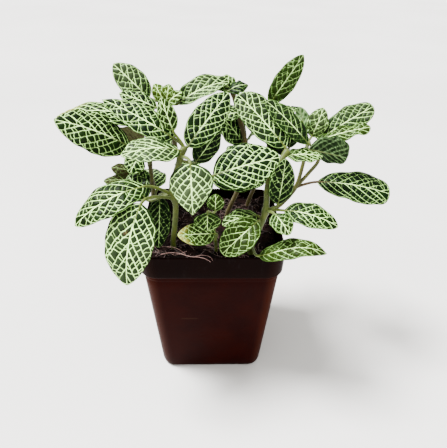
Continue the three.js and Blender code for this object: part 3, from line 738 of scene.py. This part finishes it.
def leaf_look(name, under):
    look = Look(name)
    vein, major, margin = look.split("vein")
    from_rib, s, cream = look.split("rib")
    young, dark, bold = look.split("tone")
    brown, pale, _ = look.split("age")
    place = look.place()
    fray = look.line(look.noise(place, 1500.0), 0.08, -0.04)
    faint = look.add(look.math("SUBTRACT", 1.0, bold), look.ease(s, 0.0, 0.45, 0.45, 0.0))
    small_gap = look.add(look.line(faint, 0.14, vein), fray)
    large_gap = look.add(look.line(faint, 0.14, major), fray)
    spread = 0.35 if under else 0.0
    small_lines = look.ease(small_gap, -0.03, 0.13 + spread, 1.0, 0.0)
    large_lines = look.ease(large_gap, -0.04, 0.1 + spread, 1.0, 0.0)
    small_lines = look.times(small_lines, look.ease(margin, 0.05, 0.4))
    small_lines = look.times(small_lines, look.line(bold, 0.9, -0.1))
    lines = look.math("MAXIMUM", small_lines, large_lines)

    patch = look.ease(look.noise(place, 260.0, 3.0), 0.35, 0.65)
    if under:
        flesh = look.mix(patch, (0.035, 0.085, 0.025), (0.06, 0.12, 0.035))
        line_colour = (0.18, 0.29, 0.11)
        shade = (0.001, 0.0045, 0.0004)
    else:
        flesh = look.mix(patch, (0.0003, 0.0034, 0.0), (0.0016, 0.0088, 0.0))
        rib_width = look.line(s, -0.3, 0.4)
        rib_line = look.ease(look.math("SUBTRACT", from_rib, rib_width), -0.2, 0.15, 1.0, 0.0)
        line_colour = look.mix(rib_line, (0.58, 0.99, 0.28), (0.66, 1.0, 0.33))
        shade = (0.0002, 0.0025, 0.0001)
    flesh = look.mix(look.ease(young, 0.0, 1.3, 0.0, 0.85), flesh, (0.065, 0.11, 0.008))
    flesh = look.mix(look.ease(vein, 0.05, 0.35, 0.12, 0.0), flesh, (0.03, 0.11, 0.004))
    # Painted sheen: a greyish reflection of the sky, in patches over the flesh and stronger towards the tip.
    painted_sheen_mask = look.times(pale, look.ease(look.noise(place, 120.0), 0.3, 0.6, 0.45, 1.0))
    painted_sheen_mask = look.times(painted_sheen_mask, look.ease(s, 0.05, 0.65, 0.2, 1.0))
    flesh = look.mix(painted_sheen_mask, flesh, (0.038, 0.058, 0.024))
    flesh = look.mix(look.times(cream, 0.85), flesh, (0.34, 0.30, 0.06))
    # Painted shade: by the dark value, leaves that lie in shadow get darker flesh and slightly darker veins.
    flesh = look.mix(look.times(dark, 0.95), flesh, shade)
    line_colour = look.mix(look.times(dark, 0.55), line_colour, (0.10, 0.20, 0.07))
    colour = look.mix(lines, flesh, line_colour)
    # Painted highlight: a thin lighter green rim along the margin.
    colour = look.mix(look.ease(margin, 0.0, 0.35, 0.3, 0.0), colour, (0.045, 0.11, 0.012))
    colour = look.mix(look.times(brown, 0.8), colour, (0.045, 0.026, 0.011))
    fine = look.noise(place, 2600.0)
    roughness = look.line(lines, 0.1, look.line(fine, 0.16, 0.5 if under else 0.36))
    look.finish(colour, roughness, 0.04, look.bump(fine, 0.15, 0.00008))
    glow = look.node("ShaderNodeBsdfTranslucent", Color=look.mix(0.5, colour, (0.08, 0.24, 0.01)))
    both = look.node("ShaderNodeMixShader", Fac=0.12)
    look.set(both.inputs[1], look.shader.outputs[0])
    look.set(both.inputs[2], glow.outputs[0])
    look.set(look.tree.nodes["Material Output"].inputs["Surface"], both.outputs[0])
    return look.material


def stalk_look():
    look = Look("stalk")
    young, dark, _ = look.split("tone")
    brown = look.split("age")[0]
    place = look.place()
    blotch = look.noise(place, 420.0, 3.0)
    stripe = look.noise(look.stretched(place, 0.12), 1900.0)
    colour = look.mix(look.ease(blotch, 0.35, 0.65), (0.015, 0.024, 0.0), (0.042, 0.056, 0.0004))
    colour = look.mix(look.ease(stripe, 0.5, 0.72, 0.0, 0.45), colour, (0.03, 0.015, 0.003))
    colour = look.mix(look.times(young, 0.6), colour, (0.10, 0.16, 0.008))
    # Painted shade: the stalks of leaves that lie in shadow are darker.
    colour = look.mix(look.times(dark, 0.6), colour, (0.03, 0.04, 0.015))
    woody = look.mix(blotch, (0.018, 0.006, 0.003), (0.06, 0.028, 0.008))
    colour = look.mix(look.times(brown, 0.85), colour, woody)
    look.shader.inputs["Sheen Weight"].default_value = 0.08
    look.shader.inputs["Sheen Roughness"].default_value = 0.5
    return look.finish(colour, look.line(blotch, 0.25, 0.42), 0.2, look.bump(stripe, 0.25, 0.0002))


def hair_look():
    look = Look("hair")
    blend = look.noise(look.place(), 900.0, 1.0)
    colour = look.mix(blend, (0.16, 0.20, 0.07), (0.34, 0.36, 0.20))
    return look.finish(colour, look.line(blend, 0.2, 0.5))


def pot_look():
    look = Look("pot_plastic")
    place = look.place()
    x, y, z = look.parts(place)
    cloud = look.noise(place, 60.0, 4.0)
    colour = look.mix(look.ease(cloud, 0.3, 0.7), (0.006, 0.0002, 0.0), (0.0095, 0.0005, 0.0))

    # Painted glow: light that shines through the thin plastic of the corners is painted into them, lighter
    # and redder. The collar is double and dark.
    half = look.line(z, 0.085, FOOT_HALF * MM)
    corner = look.times(look.math("ABSOLUTE", x), look.math("ABSOLUTE", y))
    thin = look.ease(look.math("DIVIDE", corner, look.times(half, half)), 0.76, 0.98)
    colour = look.mix(look.times(thin, 0.85), colour, (0.042, 0.007, 0.0008))
    collar = look.ease(z, 0.0665, 0.0685)
    colour = look.mix(look.times(collar, 0.85), colour, (0.0009, 0.0001, 0.0))
    # Grey streaks on the collar, stronger towards its top edge: partly scuffs, partly a painted sheen.
    scuff_and_sheen = look.ease(look.noise(look.stretched(place, 0.3), 420.0, 5.0, 0.7), 0.56, 0.72)
    scuff_and_sheen = look.times(look.times(look.ease(z, 0.069, 0.08, 0.25, 0.8), collar), scuff_and_sheen)
    colour = look.mix(scuff_and_sheen, colour, (0.0055, 0.0036, 0.0034))

    # The short level scratch on the front
    level = look.math("ABSOLUTE", look.add(z, -0.0391))
    aside = look.math("ABSOLUTE", look.add(x, 0.0113))
    ends = look.ease(aside, 0.0032, 0.005, 1.0, 0.0)
    scratch = look.times(look.ease(level, 0.0, 0.0004, 1.0, 0.0), ends)
    scratch = look.times(scratch, look.ease(y, -0.025, -0.02, 0.8, 0.0))
    colour = look.mix(scratch, colour, (0.02, 0.009, 0.005))

    dust = look.ease(look.noise(place, 900.0, 5.0, 0.7), 0.62, 0.8)
    low = look.ease(z, 0.0, 0.012, 0.35, 0.0)
    colour = look.mix(look.times(look.add(low, 0.10), dust), colour, (0.05, 0.03, 0.02))
    streak = look.noise(look.stretched(place, 0.06), 700.0, 3.0)
    rough = look.line(streak, 0.10, look.line(cloud, 0.16, 0.24))
    grain = look.bump(look.noise(place, 3200.0), 0.08, 0.0001)
    return look.finish(colour, look.line(dust, 0.2, rough), 0.015, look.bump(streak, 0.10, 0.0003, grain))


def soil_look():
    look = Look("peat")
    place = look.place()
    big = look.noise(place, 240.0, 4.0, 0.6)
    small = look.noise(place, 1500.0, 4.0, 0.7)
    colour = look.mix(look.ease(big, 0.35, 0.65), (0.0014, 0.0005, 0.0004), (0.0065, 0.0024, 0.0018))
    colour = look.mix(look.ease(small, 0.55, 0.75, 0.0, 0.45), colour, (0.026, 0.011, 0.008))
    return look.finish(colour, look.line(small, 0.2, 0.78), 0.05, look.bump(small, 0.8, 0.0006))


def plain_look(name, scale, dark, light, smooth, rough):
    """One noise goes between two colours, and from a smoother to a rougher surface."""
    look = Look(name)
    tone = look.noise(look.place(), scale, 3.0)
    colour = look.mix(look.ease(tone, 0.3, 0.7), dark, light)
    return look.finish(colour, look.line(tone, rough - smooth, smooth))


def rounded_square(half, corner, z):
    """A ring with 15 points on each corner and 12 more on each straight side."""
    arcs = []
    for side in range(4):
        angle = (side + np.arange(15) / 14) * np.pi / 2
        middle = (side + 0.5) * np.pi / 2
        x = np.sign(np.cos(middle)) * (half - corner) + corner * np.cos(angle)
        y = np.sign(np.sin(middle)) * (half - corner) + corner * np.sin(angle)
        arcs.append(np.stack([x, y, np.full(15, float(z))], 1))
    ring = []
    for arc, following in zip(arcs, arcs[1:] + arcs[:1]):
        ring += [arc, arc[-1] + (following[0] - arc[-1]) * np.linspace(0, 1, 14)[1:-1, None]]
    return np.vstack(ring)


def body_at(z):
    """Half the pot's width and its corner radius at a height below the collar."""
    share = (z - FOOT_ROUNDING) / (COLLAR_FOOT - FOOT_ROUNDING)
    half = FOOT_HALF + (SHOULDER_HALF - FOOT_HALF) * share
    return half, FOOT_CORNER + (SHOULDER_CORNER - FOOT_CORNER) * share


def loft(builder, rings):
    centres = [rings[0].mean(axis=0), rings[-1].mean(axis=0)]
    builder.add(np.vstack(rings + [centres]), ring_faces(len(rings), len(rings[0])))


# Rings of the pot's rounded foot and its collar, up the outside and down the inside, as half
# width, corner radius and height. Between them, the body's rings are heights and grooves.
FOOT_RINGS = ((25.5, 5.5, 0.0), (26.0, 5.9, 0.2), (26.5, 6.4, 0.9), (26.9, 6.8, 2.0))
BODY_RINGS = (
    *((z, 0.0) for z in (FOOT_ROUNDING, 8, 14, 22, 30, 38, 46, 54, 60, 64.2)),
    (64.6, 0.1), (65.0, 0.0), (65.8, 0.0), (66.2, 0.12), (66.6, 0.0), (67.2, 0.0), (67.5, 0.0),
)
COLLAR_RINGS = (
    (33.4, 8.2, 67.55), (33.9, 8.5, 67.62), (34.2, 8.7, 67.85), (34.3, 8.8, 68.4), (34.5, 8.9, 72),
    (34.7, 9, 76), (34.85, 9, 78.8), (34.9, 9, 79.3), (34.82, 9, 79.75), (34.6, 8.9, 80.0), (34.3, 8.6, 80.0),
    (34.05, 8.3, 79.8), (33.95, 8.1, 79.4), (33.8, 8.1, 76), (33.3, 7.8, 68.8), (32.0, 7.2, 67.6),
)
INSIDE_FLOOR = (25.4, 5.4, 1.4)


def make_pot():
    rings = [rounded_square(*ring) for ring in FOOT_RINGS]
    for z, groove in BODY_RINGS:
        half, corner = body_at(z)
        rings.append(rounded_square(half - groove, corner, z))
    rings += [rounded_square(*ring) for ring in COLLAR_RINGS]
    for z in (54, 30, FOOT_ROUNDING):
        half, corner = body_at(z)
        rings.append(rounded_square(half - WALL, corner - WALL, z))
    rings.append(rounded_square(*INSIDE_FLOOR))
    builder = Builder()
    loft(builder, rings)
    pot = builder.object("pot_shell", [pot_look()])
    cutters = Builder()
    for x in (DRAIN_OFFSET, -DRAIN_OFFSET):
        for y in (DRAIN_OFFSET, -DRAIN_OFFSET):
            cutters.tube([(x, y, z) for z in (-2, -1, 0.7, 3, 4)], DRAIN_RADIUS, 32, 0)
    tool = cutters.object("drain_tool", [])
    cut = pot.modifiers.new("drain", "BOOLEAN")
    cut.operation = "DIFFERENCE"
    cut.solver = "EXACT"
    cut.object = tool
    shape = bpy.data.meshes.new_from_object(pot.evaluated_get(bpy.context.evaluated_depsgraph_get()))
    pot.modifiers.clear()
    pot.data = shape
    bpy.data.objects.remove(tool)
    for polygon in shape.polygons:
        polygon.use_smooth = True
    pot.modifiers.new("edges", "EDGE_SPLIT").split_angle = np.radians(50)
    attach(pot, "root")
    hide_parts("pot")


def lattice_noise(x, y, scale, seed):
    """Smooth random field, the same on each run."""
    table = np.random.default_rng(seed).uniform(-1, 1, (64, 64))
    u, v = x / scale + 20, y / scale + 20
    i, j = np.floor(u).astype(int), np.floor(v).astype(int)
    fu, fv = u - i, v - j
    fu, fv = fu * fu * (3 - 2 * fu), fv * fv * (3 - 2 * fv)
    i, j = i % 64, j % 64
    k, m = (i + 1) % 64, (j + 1) % 64
    low = table[i, j] * (1 - fu) + table[k, j] * fu
    high = table[i, m] * (1 - fu) + table[k, m] * fu
    return low * (1 - fv) + high * fv


def soil_height(x, y):
    ripple = np.sin(x * 0.23 + 1) * np.cos(y * 0.19) + 0.6 * np.sin(x * 0.41 - y * 0.37)
    sizes = ((0.9, 4.5), (0.55, 1.9), (0.3, 0.9))
    rough = sum(rise * lattice_noise(x, y, wide, seed) for seed, (rise, wide) in enumerate(sizes, 1))
    return SOIL_LEVEL + 0.7 * ripple + rough


def ball():
    """Corner points and faces of a twenty-sided ball."""
    golden = (1 + 5**0.5) / 2
    points = []
    for a in (-1, 1):
        for b in (-golden, golden):
            points += [(0, a, b), (a, b, 0), (b, 0, a)]
    points = unit(np.array(points, float))
    faces = []
    for i, j, k in combinations(range(12), 3):
        sides = [np.linalg.norm(points[p] - points[q]) for p, q in ((i, j), (j, k), (i, k))]
        if max(sides) < 1.2:
            normal = np.cross(points[j] - points[i], points[k] - points[i])
            faces.append((i, j, k) if normal.dot(points[i]) > 0 else (i, k, j))
    return points, faces


CRUMBS, CRUMB_REACH = 1500, 31.2
FIBRES, FIBRE_MIDDLE, FIBRE_REACH = 190, 29, 31.3


def make_soil():
    builder = Builder()
    margin = WALL + SOIL_CLEARANCE

    def inner(z, more=0.0):
        half, corner = body_at(z)
        return rounded_square(half - margin - more, corner - margin, z)

    rings = [inner(1.9, 0.8), inner(4), inner(30), inner(60), inner(73.5)]
    rim = inner(74.5)
    for share in np.linspace(0.985, 0.02, 54):
        ring = rim * (share, share, 1)
        ring[:, 2] = soil_height(ring[:, 0], ring[:, 1])
        ring[:, 2] -= 1.2 * np.clip((share - 0.9) / 0.1, 0, 1)
        rings.append(ring)
    loft(builder, rings)
    rng = np.random.default_rng(7)
    points, faces = ball()
    for _ in range(CRUMBS):
        x, y = rng.uniform(-CRUMB_REACH, CRUMB_REACH, 2)
        size = rng.uniform(0.3, 0.75) + (rng.random() < 0.12) * rng.uniform(0.3, 0.9)
        shape = points * rng.uniform(0.6, 1.25, (12, 1))
        shape = shape * (1.0, rng.uniform(0.55, 1.0), rng.uniform(0.4, 0.8)) * size
        turn, tilt = rng.uniform(0, 6.3), rng.normal(0, 0.5)
        turn = np.array(Matrix.Rotation(turn, 3, "Z") @ Matrix.Rotation(tilt, 3, "X"))
        builder.add(shape @ turn.T + (x, y, soil_height(x, y) + size * 0.2), faces)
    for _ in range(FIBRES):
        x, y = rng.uniform(-FIBRE_MIDDLE, FIBRE_MIDDLE, 2)
        heading = rng.uniform(0, 2 * np.pi)
        length = rng.uniform(3, 11)
        bend = rng.normal(0, 0.25)
        line = []
        for q in np.linspace(-0.5, 0.5, 7):
            angle = heading + bend * q * 6
            px = np.clip(x + np.cos(angle) * q * length, -FIBRE_REACH, FIBRE_REACH)
            py = np.clip(y + np.sin(angle) * q * length, -FIBRE_REACH, FIBRE_REACH)
            lift = 0.35 + 1.4 * rng.random() * (0.25 - q * q)
            line.append((px, py, soil_height(px, py) + lift))
        builder.tube(smooth_path(line, 2), rng.uniform(0.09, 0.2), 4, 1)
    fibre = plain_look("root_fibre", 500.0, (0.012, 0.004, 0.003), (0.06, 0.026, 0.018), 0.5, 0.8)
    soil = builder.object("peat_surface", [soil_look(), fibre])
    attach(soil, "root")
    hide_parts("soil")


# Pale surface roots, as radius and points. The first two lie over the front rim.
ROOTS = [
    (0.2, [(-24, -27, 76.5), (-19, -29.5, 79.2), (-15, -32, 80.6), (-10, -34.2, 80.5), (-6, -34.6, 80.4),
           (-3, -35.2, 79.9), (-0.5, -35.35, 78.2)]),
    (0.13, [(-8, -34.4, 80.45), (-5, -33.4, 80.6), (-2.5, -33.4, 80.4), (-0.5, -34.9, 80.3),
            (0.3, -35.3, 79)]),
    (0.14, [(-12, -26, 77.5), (-14, -29, 78.5), (-17, -31, 79), (-19, -29, 78.2)]),
    (0.12, [(6, -31, 77.6), (8, -29, 78.3), (11, -29.5, 78.1), (14, -31, 77.2)]),
    (0.11, [(-27, -20, 77), (-23, -24, 79), (-17, -26, 79.5), (-12, -29, 78)]),
    (0.11, [(24, -27, 77), (26, -30, 78.5), (29, -31, 78), (31, -28, 77)]),
    (0.11, [(-3, -20, 77), (3, -25, 78.6), (9, -25, 78.3), (13, -22, 77)]),
]


def make_roots():
    builder = Builder()
    for radius, points in ROOTS:
        path = smooth_path(points, 10)
        builder.tube(path, radius * np.linspace(1.0, 0.55, len(path)), 7, 0)
    look = plain_look("pale_root", 700.0, (0.12, 0.055, 0.045), (0.26, 0.15, 0.13), 0.45, 0.65)
    roots = builder.object("surface_roots", [look])
    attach(roots, "root")


def make_floor():
    """A wide floor in a few cells, just under the pot."""
    line = np.linspace(-4000.0, 4000.0, 9)
    builder = Builder()
    builder.add([(x, y, 0.0) for y in line for x in line], grid_faces(np.arange(81).reshape(9, 9)))
    look = plain_look("floor", 3.0, (0.42, 0.41, 0.397), (0.455, 0.446, 0.432), 0.6, 0.7)
    floor = builder.object("floor", [look])
    floor.location.z = -0.2 * MM


def turned(right, up, back, place):
    """The matrix of a light or camera with these axes, which looks away from back."""
    return Matrix([(*row, p) for row, p in zip(np.stack([right, up, back], 1), place)] + [(0, 0, 0, 1)])


def make_light(name, kind, back, place, **settings):
    data = bpy.data.lights.new(name, kind)
    for key, value in settings.items():
        setattr(data, key, value)
    back = unit(np.array(back))
    right = unit(np.cross((0, 0, 1), back))
    link(name, data).matrix_world = turned(right, np.cross(back, right), back, place)


def make_world():
    world = bpy.data.worlds.new("studio")
    bpy.context.scene.world = world
    world.use_nodes = True
    background = world.node_tree.nodes["Background"]
    background.inputs["Color"].default_value = (1.0, 0.99, 0.97, 1.0)
    background.inputs["Strength"].default_value = 1.9


def make_camera():
    """The photo's camera, as fitted to the pot's corners."""
    pitch, roll, yaw = np.radians((31.36, 1.18, -2.0))
    focal, photo_height = 443.5, 448  # pixels
    right = np.array((1.0, 0.0, 0.0))
    forward = np.array((0.0, np.cos(pitch), -np.sin(pitch)))
    up = np.array((0.0, np.sin(pitch), np.cos(pitch)))
    right, up = right * np.cos(roll) + up * np.sin(roll), up * np.cos(roll) - right * np.sin(roll)
    turn = np.array(((np.cos(yaw), -np.sin(yaw), 0), (np.sin(yaw), np.cos(yaw), 0), (0, 0, 1)))
    data = bpy.data.cameras.new("camera")
    data.sensor_fit = "VERTICAL"
    data.sensor_height = 36.0
    data.lens = focal / photo_height * data.sensor_height
    data.clip_start = 0.01
    camera = link("camera", data)
    place = np.array((-0.8, -198.0, 197.6)) * MM
    camera.matrix_world = turned(turn @ right, turn @ up, -(turn @ forward), place)
    bpy.context.scene.camera = camera


make_pot()
make_soil()
make_roots()
FOLIAGE = [leaf_look("leaf_top", False), stalk_look(), leaf_look("leaf_underside", True), hair_look()]
for number, (name, row) in enumerate(STEMS.items()):
    make_leafy_stem(name, row, number, FOLIAGE)
make_floor()
make_world()
# The sun is broad and soft, so that it lights the floor evenly.
make_light("window", "SUN", (-0.5, 0.08, 1.0), (0.5, 0.5, 0.5), angle=np.radians(20.0), energy=24.0)
make_light("fill", "AREA", (0.25, -0.55, 0.47), (0.25, -0.55, 0.55), shape="RECTANGLE",
           size=0.6, size_y=0.4, energy=3.0, color=(1.0, 0.97, 0.93))
make_camera()
